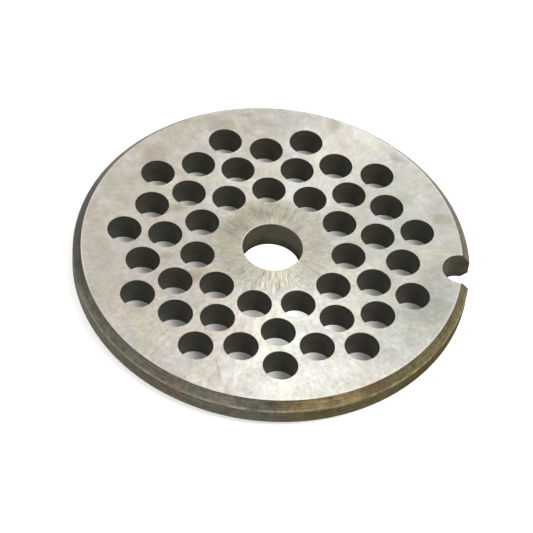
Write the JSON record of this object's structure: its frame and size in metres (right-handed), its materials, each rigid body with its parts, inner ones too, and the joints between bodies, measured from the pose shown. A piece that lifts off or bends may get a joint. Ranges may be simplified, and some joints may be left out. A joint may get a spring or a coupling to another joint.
{
  "type": "meat grinder plate",
  "caption": "Round perforated steel plate of a hand-cranked meat grinder, with a plain centre bore, bevelled rim and a half-round locating notch.",
  "frame": {"origin": "on the bore's axis at the lower face, which the plate lies on", "axes": "+Z along the bore's axis, out of the upper face; +X from the bore towards the locating notch in the rim"},
  "size_m": [0.0699, 0.07, 0.0056],
  "materials": {
    "ground_steel": "face-ground carbon steel with fine radial scratches, faint brown and green stains, and a darker oxidised rim"
  },
  "bodies": {
    "root": {"grinder_plate": "ground_steel"}
  },
  "joints": []
}
